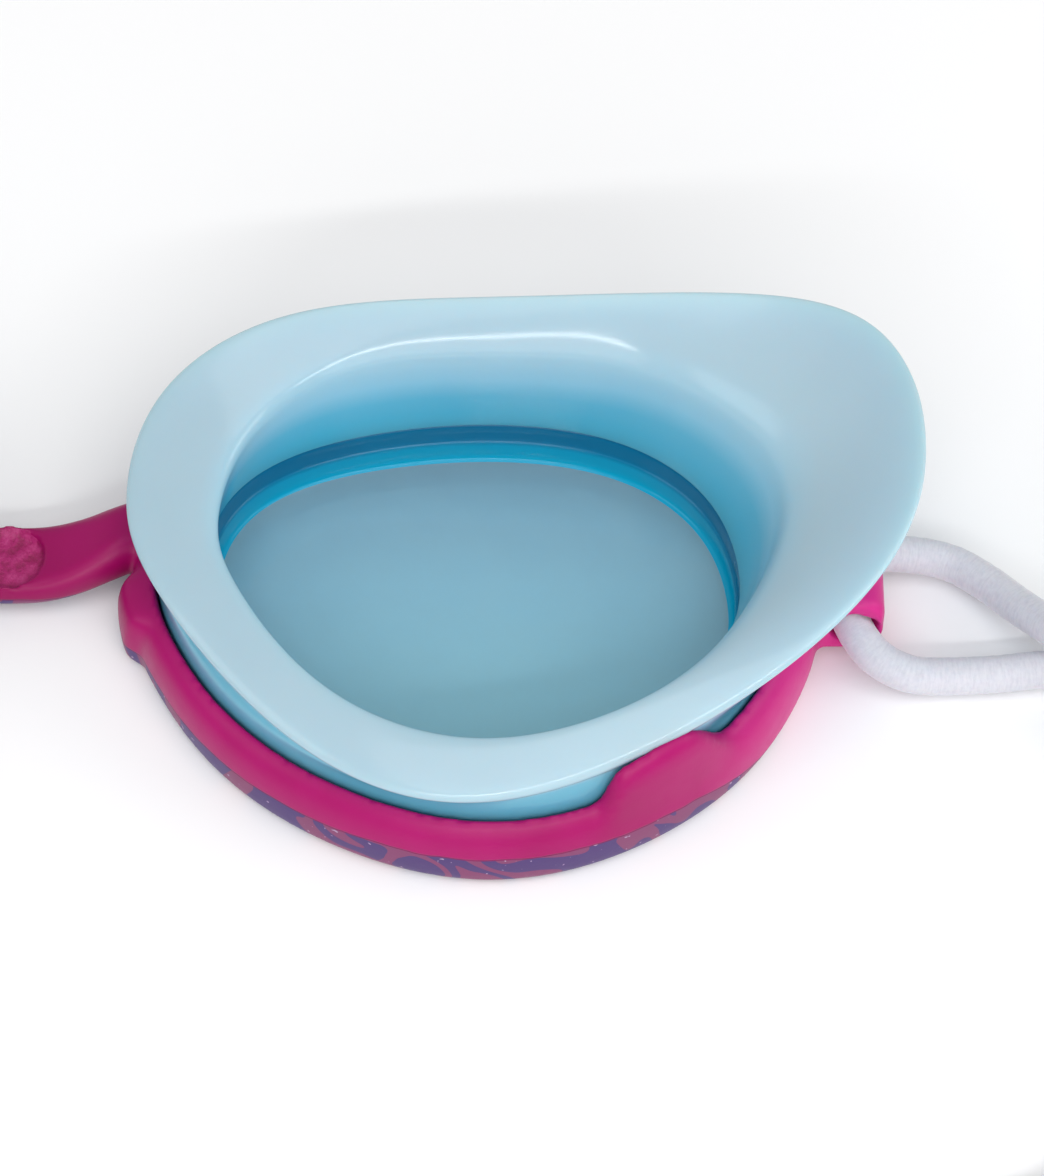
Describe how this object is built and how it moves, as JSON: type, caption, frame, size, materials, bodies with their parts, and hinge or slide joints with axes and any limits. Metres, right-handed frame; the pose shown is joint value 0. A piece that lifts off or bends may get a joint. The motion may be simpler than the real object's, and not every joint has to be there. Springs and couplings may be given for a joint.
{
  "type": "swim goggles",
  "caption": "Child's swim goggles: one-piece flexible frame with nose bridge, clear tinted lens cups, soft face gaskets and an elastic cord with a spring lock.",
  "frame": {"origin": "middle of the goggles' footprint on the surface they lie on, cord left out", "axes": "+X to the wearer's right, +Y to the brow side, +Z from the front of the lenses towards the face"},
  "size_m": [0.1867, 0.079, 0.0221],
  "materials": {
    "frame_magenta": "satin",
    "lens_clear_blue": "gloss",
    "gasket_soft_blue": "satin",
    "cord_white": "matt",
    "lock_white": "gloss",
    "lock_pink": "satin",
    "spring_steel": "polished",
    "tip_pink": "satin"
  },
  "bodies": {
    "goggles": {"frame": "frame_magenta", "lens_right": "lens_clear_blue", "lens_left": "lens_clear_blue", "gasket_right": "gasket_soft_blue", "gasket_left": "gasket_soft_blue", "bungee_cord": "cord_white", "cord_tip_right": "tip_pink", "cord_tip_left": "tip_pink"},
    "cord_lock": {"cord_lock_body": "lock_white", "cord_lock_spring": "spring_steel"},
    "plunger": {"cord_lock_plunger": "lock_pink"}
  },
  "joints": [
    {"name": "cord_lock_slide", "type": "slide", "parent": "goggles", "child": "cord_lock", "axis": [0, 1, 0], "range_m": [-0.003, 0.0005]},
    {"name": "plunger_press", "type": "slide", "parent": "cord_lock", "child": "plunger", "axis": [1, 0, 0], "range_m": [0, 0.0025], "stiffness_N_per_m": 600, "springref_m": -0.003, "deforming": ["cord_lock_spring"]}
  ]
}
